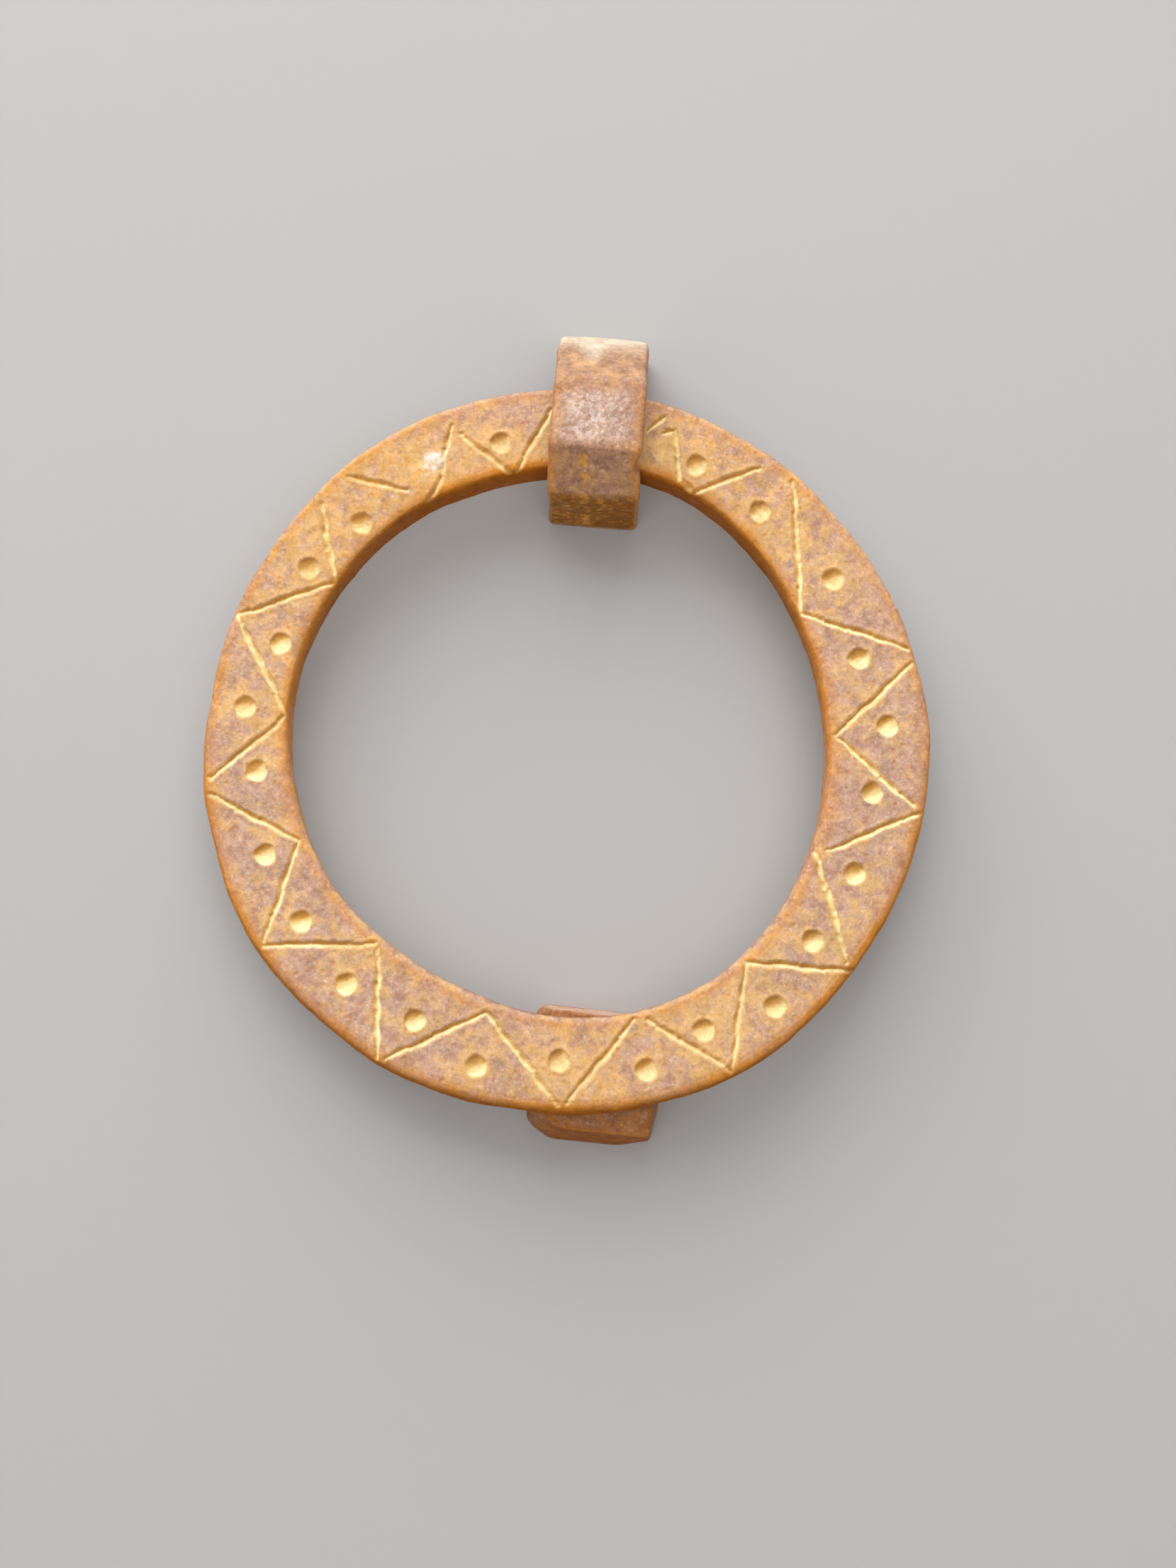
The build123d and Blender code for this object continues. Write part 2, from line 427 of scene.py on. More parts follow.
# %% [markdown]
# ## The chased zigzag and the punched dots
# The smith cut a zigzag round the face with a chisel, blow by blow, and set a dot between its
# lines with a round punch. Each line here has a clock angle and a radius at each end, as it was
# cut by eye, so none matches its neighbour. A cut is a V that is deepest between its ends and
# wanders a little, with a burr pushed up beside it. A dot is a shallow bowl with a raised rim.

# %% Where the marks are
zigzag = [
    (18.3, 56.6, 20.3, 52.6), (26.1, 47.8, 34.3, 57.3), (40.0, 58.8, 60.5, 44.8), (60.5, 44.8, 74.0, 59.1),
    (76.4, 59.1, 88.1, 44.5), (88.7, 44.9, 100.2, 57.9), (101.0, 59.3, 112.7, 46.4),
    (114.0, 44.8, 128.2, 58.4), (128.7, 59.9, 140.9, 46.6), (141.1, 46.8, 153.1, 59.8),
    (153.2, 60.0, 163.5, 47.5), (165.9, 46.9, 179.5, 58.8), (180.8, 59.3, 195.6, 46.3),
    (195.8, 46.3, 208.9, 59.5), (210.2, 59.9, 221.6, 45.7), (222.4, 45.6, 235.3, 59.5),
    (235.7, 59.2, 248.9, 46.9), (249.1, 46.9, 261.0, 59.0), (263.7, 58.8, 275.1, 46.6),
    (275.3, 46.6, 290.9, 59.1), (290.9, 59.1, 304.7, 47.4), (304.9, 47.6, 314.3, 58.2),
    (320.5, 58.7, 327.7, 50.9), (336.3, 52.8, 339.9, 58.1), (340.9, 56.0, 348.0, 47.1),
    (348.9, 47.0, 356.9, 57.4), (14.0, 55.3, 16.1, 58.5), (20.3, 52.6, 22.4, 49.0),
    (23.6, 49.0, 26.3, 47.3), (18.1, 56.5, 16.6, 55.6), (334.9, 50.3, 329.8, 47.1),
    (336.3, 52.6, 335.2, 50.6),
]
dots = [
    (24.6, 52.4), (38.8, 51.2), (57.8, 52.3), (73.5, 50.9), (86.5, 53.0), (99.5, 50.9),
    (114.4, 52.2), (128.9, 51.6), (142.0, 55.2), (154.2, 52.4), (166.2, 55.0), (181.0, 52.5),
    (194.6, 54.9), (207.9, 51.7), (221.3, 53.7), (234.9, 52.2), (249.0, 52.8), (263.9, 51.4),
    (276.0, 53.3), (289.1, 50.7), (303.8, 52.3), (317.2, 50.8), (347.2, 52.9),
]
faint_dots = [(331.9, 54.6), (17.8, 52.4)]  # struck weakly, and rusted over since
marks_centre = np.array([-5.6, -57.2])  # the point that the smith marked them out from
print(len(zigzag), "cuts,", len(dots), "dots and", len(faint_dots), "faint dots")

# %% Cut and punch the face
cut_half_width, cut_depth = 0.80, 0.56
end_share = 0.65  # how wide and deep a cut is at its ends
blow_length, blow_spread = 4.3, 0.10
stray, waver = 0.11, 0.05  # how far a blow lands beside the line, and how far its edge wavers
burr_height, burr_width, burr_gap = 0.10, 0.28, 0.1
punch_r, punch_depth = 1.85, 0.75
out_of_round = 0.14
bowl_power = 0.8  # below 1 a bowl has steep sides and a wide floor
faint_share = 0.30
rim_height, rim_width, rim_gap = 0.10, 0.35, 0.15


def on_face(clock, distance):
    """A mark's place across and up the face, in mm."""
    angle = radians(clock)
    return marks_centre + distance * np.array([sin(angle), cos(angle)])


def chisel_cut(spots, start, end, seed):
    """Depth, burr and distance of one chiselled line at each spot, in mm."""
    along = end - start
    length = np.hypot(*along)
    along = along / length
    run = (spots - start) @ along
    off = (spots - start) @ np.array([-along[1], along[0]])
    # The sines' rates only have to differ, so that no blow repeats another.
    blow = np.floor(run / blow_length + seed * 0.37)
    off = off + stray * np.sin(blow * 2.4 + seed) + waver * np.sin(run * 1.3 + 3 * seed)
    past = np.maximum(np.maximum(-run, run - length), 0)
    away = np.hypot(off, past)
    share = np.clip(run / length, 0, 1)
    taper = end_share + (1 - end_share) * np.sin(pi * np.clip(0.04 + 0.92 * share, 0, 1))
    blows = 1 - blow_spread + blow_spread * np.sin(blow * 4.1 + run * 1.9 + 5 * seed)
    half_width = cut_half_width * taper * blows
    cut = np.clip(1 - away / half_width, 0, 1)
    burr = peak(away - half_width - burr_gap, burr_width) * taper
    return cut_depth * taper * blows * cut, burr_height * burr, away


def punch(spots, centre, seed, share=1.0):
    """Depth, rim and distance of one punched dot at each spot, in mm."""
    offset = spots - centre
    squash_way = np.array([cos(seed * 2.1), sin(seed * 2.1)])
    round_it = np.arctan2(*offset.T)
    ragged = 0.03 * np.sin(3 * round_it + seed) + 0.02 * np.sin(5 * round_it + 2 * seed)
    away = np.hypot(*offset.T) * (1 + ragged) + out_of_round * (offset @ squash_way)
    bowl = np.clip(1 - (away / punch_r) ** 2, 0, 1)
    rim = peak(away - punch_r - rim_gap, rim_width)
    sunk = share * punch_depth * bowl ** bowl_power
    return sunk, share * rim_height * rim, np.maximum(away - punch_r, 0)


places, normals = points_of(ring.data)
spots = places[:, [0, 2]]
marks = [chisel_cut(spots, on_face(*ends[:2]), on_face(*ends[2:]), n) for n, ends in enumerate(zigzag)]
marks += [punch(spots, on_face(*dot), n) for n, dot in enumerate(dots)]
marks += [punch(spots, on_face(*dot), n, faint_share) for n, dot in enumerate(faint_dots)]
depths, burrs, distances = zip(*marks)
cut_to, raised, nearest = np.max(depths, axis=0), np.max(burrs, axis=0), np.min(distances, axis=0)
turn_gain, turn_start = 1.6, 0.5  # marks fade out where the surface turns from the front
facing_front = np.clip(-normals[:, 1] * turn_gain - turn_start, 0, 1)
cut_to = cut_to * facing_front
raised = np.where(cut_to > 0, 0, raised * facing_front)
print("deepest mark:", round(float(cut_to.max()), 2), "mm")

# %% Hammer the ring, then sink the marks
bevel_width, bevel_slope = 1.9, 0.36  # where the lower half's outer arris has been beaten down
crease_width, crease_depth = 0.22, 0.10  # and the line that is left above the beaten edge
scrape, scrape_r = (334.6, 53.2), 1.9  # a bare patch, where something has rubbed the face
ring_marks = [(22, 0.35, 3), (8, 0.26, 4), (3.2, 0.09, 5), (1.1, 0.045, 6)]
eye_half, eye_fade, eye_least = radians(10), radians(8), 0.25  # the eye has rubbed the ring smooth
from_eye = np.minimum(clocks, tau - clocks)
eye_share = np.clip((from_eye - eye_half) / eye_fade, eye_least, 1)
hammer(ring, ring_marks, np.repeat(eye_share, len(side)))
places, normals = points_of(ring.data)
from_edge = (outer_r[:, None] - radius).ravel()
low_half = 0.5 - 0.5 * np.cos(np.repeat(clocks, len(side)))
to_front = np.clip((ring_high.y - places[:, 1]) / ring_thickness, 0, 1)
bevel = bevel_slope * np.clip(bevel_width - from_edge, 0, None) * low_half * to_front
crease_line = peak(from_edge - bevel_width, crease_width) * low_half * facing_front
places[:, 1] = places[:, 1] + cut_to - raised + bevel + crease_depth * crease_line
move_points(ring, places)

to_arris = (1 - np.abs(side)) * float(band_half.mean())
worn = arris_share(face_x, face_y, to_arris, reach=0.8, wall_share=0.35)
keep_value(ring, "cut", cut_to / cut_depth)
crease_rust, front_rust_and_shade, wall_from = 0.8, 0.35, 0.6
keep_value(ring, "arris", np.maximum(np.tile(worn, ring_steps), crease_rust * crease_line))
to_back = front_rust_and_shade + (1 - front_rust_and_shade) * (depth + 1) / 2  # the walls carry more rust and more painted shade next to the door
keep_value(ring, "wall", np.tile((np.abs(face_x) > wall_from) * to_back, ring_steps))
clock_face = np.repeat(np.degrees(clocks), len(side))
runs = [(322, 26, 0.50), (32, 22, 0.35), (170, 20, 0.25)]  # rust has run down here: clock, width, share
runoff = sum(share * peak(clock_face - clock, width) for clock, width, share in runs)


def round_patch(centre, reach):
    """1 within a round patch of the face, fading to 0 at about reach mm."""
    return peak(np.hypot(*(spots - on_face(*centre)).T), reach, 4)


stain_reach, over_share, streak_share = 1.3, 0.6, 0.9
rusted_over = sum(round_patch(dot, punch_r) for dot in faint_dots)
stain = np.exp(-nearest / stain_reach) + runoff + over_share * rusted_over
keep_value(ring, "stain", stain * facing_front)
keep_value(ring, "streak", streak_share * runoff * facing_front)
keep_value(ring, "rub", round_patch(scrape, scrape_r) * facing_front)
keep_slopes(ring)

# %% [markdown]
# ## Fewer faces where the iron is plain
# The grid is fine enough for the cuts everywhere, which the back doesn't need. A Decimate modifier
# joins faces where that changes the shape least, and is applied straight away.


# %% Thin out the mesh
def thin_out(piece, most):
    """Joins faces until the piece has at most this many triangles."""
    triangles = sum(len(p.vertices) - 2 for p in piece.data.polygons)
    if triangles > most:
        modifier = piece.modifiers.new("thin_out", "DECIMATE")
        modifier.ratio = most / triangles
        graph = bpy.context.evaluated_depsgraph_get()
        thinned = bpy.data.meshes.new_from_object(
            piece.evaluated_get(graph), preserve_all_data_layers=True, depsgraph=graph
        )
        piece.modifiers.clear()
        piece.data = thinned
    print(piece.name, triangles, "triangles, now", len(piece.data.polygons), "faces")


most_triangles = 190000
thin_out(ring, most_triangles)
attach(ring, "ring")
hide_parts("knocker_ring")

# %% [markdown]
# ## Threaded tails
# The strap ends in two M5 tails and the stud in one M8 tail. A thread is a ridge that climbs
# one pitch a turn, so each point's radius follows from its angle and its place along the tail.

# %% Tail sections
shank_end = 38.0
groove_length = 1.5
tip_chamfer = 0.9
shoulder_run, shoulder_drop = 0.4, 0.25  # the small bevel where the shank ends
root_depth = 1.23  # mm off the diameter for each mm of pitch, by the standard metric thread
thread_play = 0.03
rows_a_turn = 9
flank_gain, root_flat = 1.25, 0.1  # a ridge has straight flanks, and its root and crest are flat


def tail_stations(tip, shank_d, size, pitch, angles):
    """Places along a tail, and the radius there at each angle, from the door's face to its tip."""
    groove_end = shank_end + groove_length
    root, crest = (size - root_depth * pitch) / 2, size / 2 - thread_play
    stations = [(y, shank_d / 2, 0) for y in (0.02, 6, 20, shank_end - shoulder_run)]
    stations += [(shank_end, shank_d / 2 - shoulder_drop, 0)]
    stations += [(shank_end + shoulder_drop, root, 0), (groove_end, root, 0)]
    steps = int((tip - tip_chamfer - groove_end) / (pitch / rows_a_turn))
    for k in range(1, steps + 1):
        y = groove_end + k * pitch / rows_a_turn
        stations.append((y, root, min(1.0, (y - groove_end) / pitch)))
    stations += [(tip - tip_chamfer * 0.4, root, 0.15), (tip, root * 0.9, 0)]
    y, plain, ridge = np.array(stations).T
    phase = (y[:, None] / pitch - angles[None, :] / tau) % 1
    tooth = np.clip(flank_gain * (1 - np.abs(2 * phase - 1)) - root_flat, 0, 1)
    return y, plain[:, None] + ridge[:, None] * tooth * (crest - root)


print("shanks end", shank_end, "mm behind the door's face")

# %% [markdown]
# ## The strap
# The strap is a flat bar bent round the ring's band, with a crease where the hammer turned it
# down at the nose. It was driven in a little askew, so it leans, and a blow has pinched its
# right edge at the crease. The swinging ring has worn the floor of the eye level, which also
# leaves room for its turn. Strap and tails are one forging, so they are one loft: the loop
# that starts as the upper tail widens into the strap and narrows into the lower tail again.

# %% The strap's bends
strap_thickness = 4.2
strap_arris = 0.9
mounts = {mount["name"]: mount for mount in frame["record"]["mounts"]}
tails = mounts["hanger_tails"]
leg_z = tails["dims"]["spacing_y_mm"] / 2
tail_d = 2 * tails["dims"]["stud_r_mm"]
staple_low, staple_high = (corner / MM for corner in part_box("hanger_staple"))
nose_y = staple_low.y + strap_thickness / 2
bends = [
    (0, leg_z), (nose_y + 14.1, leg_z), (nose_y + 6.2, leg_z - 5.4), (nose_y, leg_z - 13.0),
    (nose_y, -leg_z + 5.3), (nose_y + 6.0, -leg_z), (0, -leg_z),
]
outer_radii = [5.0, 5.0, 6.0, 0.7, 3.6]  # the fourth is the crease below the nose
inner_radii = [1.2, 1.2, 1.8, 0.8, 0.8]
station_gap, arc_stations = 0.42, 7


def side_of_bar(corners, reach):
    """The corners of the bar's face that lies reach mm outside its middle line."""
    corners = [Vector(corner) for corner in corners]
    runs = [(b - a).normalized() for a, b in zip(corners, corners[1:])]
    faces = [Vector((run.y, -run.x)) for run in runs]
    moved = [corners[0] + faces[0] * reach]
    for corner, before, after in zip(corners[1:], faces, faces[1:]):
        moved.append(corner + (before + after) * (reach / (1 + before.dot(after))))
    return moved + [corners[-1] + faces[-1] * reach]


def bent_path(corners, radii, run_counts):
    """Points along straight runs joined by arcs, the same number on each run whatever its length."""
    path = [corners[0]]
    ends = [*zip(corners, corners[1:], corners[2:], radii)]
    for count, (before, corner, after, radius) in zip(run_counts, ends):
        back, on = (before - corner).normalized(), (after - corner).normalized()
        half_angle = back.angle(on) / 2
        reach = radius / np.tan(half_angle)
        first, last = corner + back * reach, corner + on * reach
        start = path[-1]
        path += [start.lerp(first, (k + 1) / count) for k in range(count)]
        centre = corner + (back + on).normalized() * (radius / sin(half_angle))
        for k in range(1, arc_stations + 1):
            path.append(centre + (first.lerp(last, k / arc_stations) - centre).normalized() * radius)
    start, count = path[-1], run_counts[-1]
    path += [start.lerp(corners[-1], (k + 1) / count) for k in range(count)]
    return np.array([tuple(p) for p in path])


lengths = [(Vector(b) - Vector(a)).length for a, b in zip(bends, bends[1:])]
run_counts = [max(2, round(length / station_gap)) for length in lengths]
outer_face = bent_path(side_of_bar(bends, strap_thickness / 2), outer_radii, run_counts)
inner_face = bent_path(side_of_bar(bends, -strap_thickness / 2), inner_radii, run_counts)
path = (outer_face + inner_face) / 2
through = (outer_face - inner_face) / strap_thickness  # for each mm outwards from the middle
print("strap:", len(path), "stations along", round(sum(lengths), 1), "mm of bar")

# %% Loft the strap and its tails
strap_lean = radians(4.2)  # clockwise, as seen from the front
pinch_z, pinch_depth, pinch_length = -10.4, 1.25, 1.15
askew = -0.4  # how far left of its tails the strap's middle stands
top_half_width, low_half_width = 7.4, 7.75
left_flare, flare_from, flare_fade = 0.6, 0.5, 6  # the left edge spreads as it leaves the door
worn_deeper, worn_reach = 0.2, 1.5  # how far below level the eye's floor is worn, and how high up
crown_height = 0.22  # the outer side is a little round across
nose_from, nose_fade = 9, 6  # how far off the door the nose begins, in mm
arris_turn = 0.3  # how far the arrises turn the loops' points that become the tails

a_side, b_side, a_face, b_face = bar_walk(front=38, back=38, wall_count=10, corner=5)
b_side, b_face = -b_side, -b_face  # the walk's front is the strap's outer side
narrowing = np.clip((leg_z - path[:, 1]) / (2 * leg_z), 0, 1)
half_w = top_half_width + (low_half_width - top_half_width) * narrowing
on_nose = np.clip((-path[:, 0] - nose_from) / nose_fade, 0, 1)
pinch = pinch_depth * peak(path[:, 1] - pinch_z, pinch_length) * on_nose

a = a_side * (half_w[:, None] - strap_arris) + strap_arris * a_face
right_edge = np.clip(a / half_w[:, None], 0, 1) ** 3
left_edge = np.clip(-a / half_w[:, None], 0, 1) ** 3
flare = left_flare * np.clip(-path[:, 0:1] / flare_fade - flare_from, 0, 1) * (1 - narrowing[:, None])
x = a - pinch[:, None] * right_edge - flare * left_edge + askew
crown = crown_height * (1 - np.clip((x - askew) / half_w[:, None], -1, 1) ** 2)
b = b_side * (strap_thickness / 2 - strap_arris) + strap_arris * b_face
b = b + crown * (b_side > 0) - crown_height
y = path[:, 0:1] + through[:, 0:1] * b
z = path[:, 1:2] + through[:, 1:2] * b
leaned_x = x * cos(strap_lean) + z * sin(strap_lean)
leaned_z = z * cos(strap_lean) - x * sin(strap_lean)
on_floor = np.clip(1 - (path[:, 1:2] + leg_z) / worn_reach, 0, 1) * np.clip(-b_side, 0, 1)
leaned_z = leaned_z - on_floor * np.maximum(0, worn_deeper - x * sin(strap_lean))
strap_loops = np.stack([leaned_x, y, leaned_z], axis=2)

angles = np.arctan2(b_side + arris_turn * b_face, a_side + arris_turn * a_face)
tail_y, tail_r = tail_stations(staple_high.y, tail_d, size=5.0, pitch=0.8, angles=angles)
tail_x = tail_r * np.cos(angles)
tail_up = tail_r * np.sin(angles)
depth_y = np.broadcast_to(tail_y[:, None], tail_x.shape)
upper_tail = np.stack([tail_x, depth_y, leg_z + tail_up], axis=2)[::-1]
lower_tail = np.stack([tail_x, depth_y, -leg_z - tail_up], axis=2)
staple = loft("strap_staple", np.concatenate([upper_tail, strap_loops, lower_tail]), closed=False)
print("strap and tails:", len(staple.data.polygons), "faces")


# %% Hammer the strap
def on_strap(row):
    """The same values at each station of the strap, and 0 on its tails."""
    none = np.zeros(tail_x.size)
    return np.concatenate([none, np.tile(row, len(path)), none])


places, normals = points_of(staple.data)
in_front = np.clip(-places[:, 1], 0, 1)  # grows over the first millimetre off the door
strap_marks = [(14, 0.28, 11), (5, 0.16, 12), (2.2, 0.07, 13), (0.9, 0.045, 14)]
spared_inside = 0.75  # the hammer hardly reaches the inner side
hammer(staple, strap_marks, in_front * (1 - spared_inside * on_strap(b_side < 0)))
to_edge = (1 - np.abs(a_side)) * top_half_width
edge_row = arris_share(a_face, b_face, to_edge, reach=0.7, wall_share=0.4)
keep_value(staple, "arris", on_strap(edge_row))
rub_and_sheen_x, rub_and_sheen_z, rub_and_sheen_half_width, rub_and_sheen_half_height = -1.3, -4.0, 5.9, 4.4  # where hands wear the nose, which also gets a painted sheen
worn_and_sheen_up = peak(places[:, 2] - rub_and_sheen_z, rub_and_sheen_half_height, 8)
worn_and_sheen_across = peak(places[:, 0] - rub_and_sheen_x, rub_and_sheen_half_width, 4)
keep_value(staple, "rub", worn_and_sheen_up * worn_and_sheen_across * np.clip(-normals[:, 1], 0, 1) * in_front)
streak_x, streak_half_width, streak_top = -2.9, 0.9, -9.6  # a thin run of rust below the nose
streak = peak(places[:, 0] - streak_x, streak_half_width)
keep_value(staple, "streak", streak * np.clip(streak_top - places[:, 2], 0, 1) * in_front)
dust_and_highlight_z, dust_and_highlight_fall = 9.8, 4.6  # dust and a painted highlight reach down to here, and thin out over this height
tongue_x, tongue_half_width, tongue_length = -1.6, 2.4, 4.2  # and run on down in one place
tongue = tongue_length * peak(places[:, 0] - tongue_x, tongue_half_width)
dust_and_highlight_share = np.clip((places[:, 2] + tongue - dust_and_highlight_z) / dust_and_highlight_fall, 0, 1)
keep_value(staple, "dust_and_highlight", dust_and_highlight_share * np.clip(-normals[:, 1] + normals[:, 2], 0, 1) * in_front)
keep_slopes(staple, in_front)
keep_value(staple, "indoors", places[:, 1] > 0)
thin_out(staple, most_triangles)
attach(staple, "fixed")
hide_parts("hanger_staple")

# %% [markdown]
# ## The strike stud
# The stud's head is a squared lump that tapers from the door to its face. It was cut by eye:
# each side stands at its own angle, and its lower left corner has been struck off. Its outline
# is the common ground of several straight sides, each given by its direction and its distance
# from the centre, and rounded a little where they meet.

# %% The head's outline
stud_low, stud_high = (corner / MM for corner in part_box("strike_stud"))
shank_mount = mounts["strike_shank"]
stud_x, _, stud_z = (v / MM for v in shank_mount["pos_m"])
stud_d = 2 * shank_mount["dims"]["r_mm"]
head_turn = -6.0
base_sides = [(0, 10.9), (90, 10.7), (181, 11.1), (270.5, 11.4), (-10, 11.5), (285, 12.2)]
base_sides += [(45, 14.4), (135, 14.6), (223, 13.8), (243, 13.2)]
face_sides = [(0, 8.9), (89, 9.2), (181, 9.4), (270, 9.9)]
face_sides += [(45, 12.0), (135, 13.4), (223, 11.6), (243, 11.4), (315, 12.9)]
face_shift = np.array([0.8, 0.2])
roundness = 80  # higher is sharper


def head_outline(sides, angles):
    """Distance from the centre to the head's side at each angle."""
    reach = np.zeros(len(angles))
    for direction, distance in sides:
        lean = np.clip(np.cos(angles - radians(direction + head_turn)), 0, None)
        reach = reach + (lean / distance) ** roundness
    return reach ** (-1 / roundness)


stud_around = 160
stud_angles = np.arange(stud_around) * tau / stud_around
base_r = head_outline(base_sides, stud_angles)
face_r = head_outline(face_sides, stud_angles)
print("head:", round(2 * base_r.max(), 1), "mm at the door,", round(2 * face_r.max(), 1), "mm at its face")

# %% Loft the stud
head_height = -stud_low.y
head_arris = 0.5
side_rows, arris_rows, face_rows = 25, 6, 33
flat_from = 1 - head_arris / head_height  # the share of the height where the arris begins
# Stations: share of the head's height, scale of the outline, and mm off all round.
stations = [(k / side_rows * flat_from, 1.0, 0.0) for k in range(1, side_rows + 1)]
for k in range(1, arris_rows + 1):
    angle = pi / 2 * k / arris_rows
    stations.append((flat_from + (1 - flat_from) * sin(angle), 1.0, head_arris * (1 - cos(angle))))
stations += [(1.0, 1 - k / (face_rows + 1), head_arris) for k in range(1, face_rows + 1)]


def stud_loop(centre_x, centre_z, y, reach):
    """One loop round the stud's axis, at one depth."""
    across = centre_x + reach * np.cos(stud_angles)
    up_door = centre_z + reach * np.sin(stud_angles)
    return np.stack([across, np.full(stud_around, y), up_door], axis=1)


tail_y, tail_r = tail_stations(stud_high.y, stud_d, size=8.0, pitch=1.25, angles=stud_angles)
loops = [stud_loop(stud_x, stud_z, y, r) for y, r in zip(tail_y[::-1], tail_r[::-1])]
loops.append(stud_loop(stud_x, stud_z, 0, base_r))
for height, scale, inset in stations:
    r = (base_r + (face_r - base_r) * height - inset) * scale
    centre_x, centre_z = np.array([stud_x, stud_z]) + face_shift * height
    loops.append(stud_loop(centre_x, centre_z, -height * head_height, r))
stud = loft("strike_head_and_shank", np.array(loops), closed=False)
places, normals = points_of(stud.data)
hammered_from = 0.8  # mm off the door
in_front = np.clip(-places[:, 1] / hammered_from, 0, 1)
stud_marks = [(13, 0.16, 21), (5, 0.12, 22), (2.0, 0.06, 23), (0.9, 0.03, 24)]
hammer(stud, stud_marks, in_front)
worn_over, face_fade = 2.2, 12  # how far back the wear reaches, and how fast it fades inwards
worn_rows = [0.0] * (len(tail_y) + 1)
for height, scale, _ in stations:
    on_side = max(0.0, 1 - (1 - height) * head_height / worn_over)
    worn_rows.append(on_side if scale == 1 else float(np.exp(-(1 - scale) * face_fade)))
keep_value(stud, "arris", np.repeat(worn_rows, stud_around))
keep_slopes(stud, in_front)
keep_value(stud, "indoors", places[:, 1] > 0)
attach(stud, "fixed")
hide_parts("strike_stud")

# %% [markdown]
# ## Shared effects
# Three effects come back in every finish, so each is a node group that is built once. Mottle
# lays uneven patches, as rust spreads. Grain is the fine tooth of oxidised iron. Pits are small
# round holes that rust has eaten.


# %% Node group: mottle
def spot_and_scale(group, group_in, size_name):
    """Each point's place on the object, and how many things of the named size fit in a metre."""
    spot = place(group, "ShaderNodeTexCoord").outputs["Object"]
    return spot, maths(group, "DIVIDE", 1.0, group_in.outputs[size_name])


bare_level, cover_span = 0.70, 0.40  # the noise level that leaves all bare, and how cover lowers it
mottle_starts = {"Patch size": 0.002, "Cover": 0.5, "Softness": 0.08, "Seed": 0.0}
mottle, group_in, group_out = new_group("Mottle", mottle_starts, "Mask")
spot, per_metre = spot_and_scale(mottle, group_in, "Patch size")
cloud = place(
    mottle, "ShaderNodeTexNoise",
    {"Vector": spot, "W": group_in.outputs["Seed"], "Scale": per_metre, "Detail": 6, "Roughness": 0.62},
    noise_dimensions="4D",
).outputs[0]
lowered = maths(mottle, "MULTIPLY", cover_span, group_in.outputs["Cover"])
threshold = maths(mottle, "SUBTRACT", bare_level, lowered)
low = maths(mottle, "SUBTRACT", threshold, group_in.outputs["Softness"])
high = maths(mottle, "ADD", threshold, group_in.outputs["Softness"])
mask = place(
    mottle, "ShaderNodeMapRange", {"Value": cloud, "From Min": low, "From Max": high},
    interpolation_type="SMOOTHSTEP",
).outputs[0]
mottle.links.new(mask, group_out.inputs["Mask"])
print("mottle:", len(mottle.nodes), "nodes")

# %% Node group: grain
fine_share, coarse_share, coarse_to_fine = 0.6, 0.4, 0.23
grain, group_in, group_out = new_group("Grain", {"Grain size": 0.0003}, "Tone")
spot, per_metre = spot_and_scale(grain, group_in, "Grain size")
fine_inputs = {"Vector": spot, "Scale": per_metre, "Detail": 4, "Roughness": 0.7}
fine = place(grain, "ShaderNodeTexNoise", fine_inputs).outputs[0]
coarse_scale = maths(grain, "MULTIPLY", per_metre, coarse_to_fine)
coarse_inputs = {"Vector": spot, "Scale": coarse_scale, "Detail": 3}
coarse = place(grain, "ShaderNodeTexNoise", coarse_inputs).outputs[0]
fine_part = maths(grain, "MULTIPLY", fine, fine_share)
coarse_part = maths(grain, "MULTIPLY", coarse, coarse_share)
grain.links.new(maths(grain, "ADD", fine_part, coarse_part), group_out.inputs["Tone"])
print("grain:", len(grain.nodes), "nodes")

# %% Node group: pits
hole_floor, hole_rim = 0.08, 0.34  # as shares of the spacing
pits, group_in, group_out = new_group("Pits", {"Spacing": 0.0016, "Share": 0.5}, "Depth")
spot, per_metre = spot_and_scale(pits, group_in, "Spacing")
cells = place(pits, "ShaderNodeTexVoronoi", {"Vector": spot, "Scale": per_metre})
spans = {"From Min": hole_floor, "From Max": hole_rim, "To Min": 1.0, "To Max": 0.0}
hole = place(pits, "ShaderNodeMapRange", {"Value": cells.outputs["Distance"]} | spans).outputs[0]
lot = place(pits, "ShaderNodeSeparateColor", {"Color": cells.outputs["Color"]}).outputs[0]
chosen = maths(pits, "LESS_THAN", lot, group_in.outputs["Share"])
pits.links.new(maths(pits, "MULTIPLY", hole, chosen), group_out.inputs["Depth"])
print("node groups:", [g.name for g in bpy.data.node_groups])

# %% [markdown]
# ## Forged iron
# The three forgings share one finish with different values. Bare iron oxidises to a mauve
# brown. Ochre rust spreads over it in fine patches, fills the cuts with yellow, and turns amber
# where it is thick on the arrises and the walls. Painted shade darkens what faces down and the
# far wall of each cut, a painted highlight lightens the near wall, and tiny pale spots are painted
# glints. What faces up gets a tint of its own: pale dust with a painted highlight on the strap
# and the stud, a darker tone on the ring.


# %% The forged finish
def ramp(tree, value, low, high, start=0.0, end=1.0):
    """Carries a value from one range into another, and holds it at the ends."""
    spans = {"Value": value, "From Min": low, "From Max": high, "To Min": start, "To Max": end}
    return place(tree, "ShaderNodeMapRange", spans).outputs[0]


def patches(tree, size, cover, softness, seed):
    """Uneven patches of one size, as a mask."""
    inputs = {"Patch size": size, "Cover": cover, "Softness": softness, "Seed": seed}
    return use_group(tree, mottle, inputs)


def product(tree, *values):
    """Several masks or numbers multiplied together."""
    total = values[0]
    for value in values[1:]:
        total = maths(tree, "MULTIPLY", total, value)
    return total


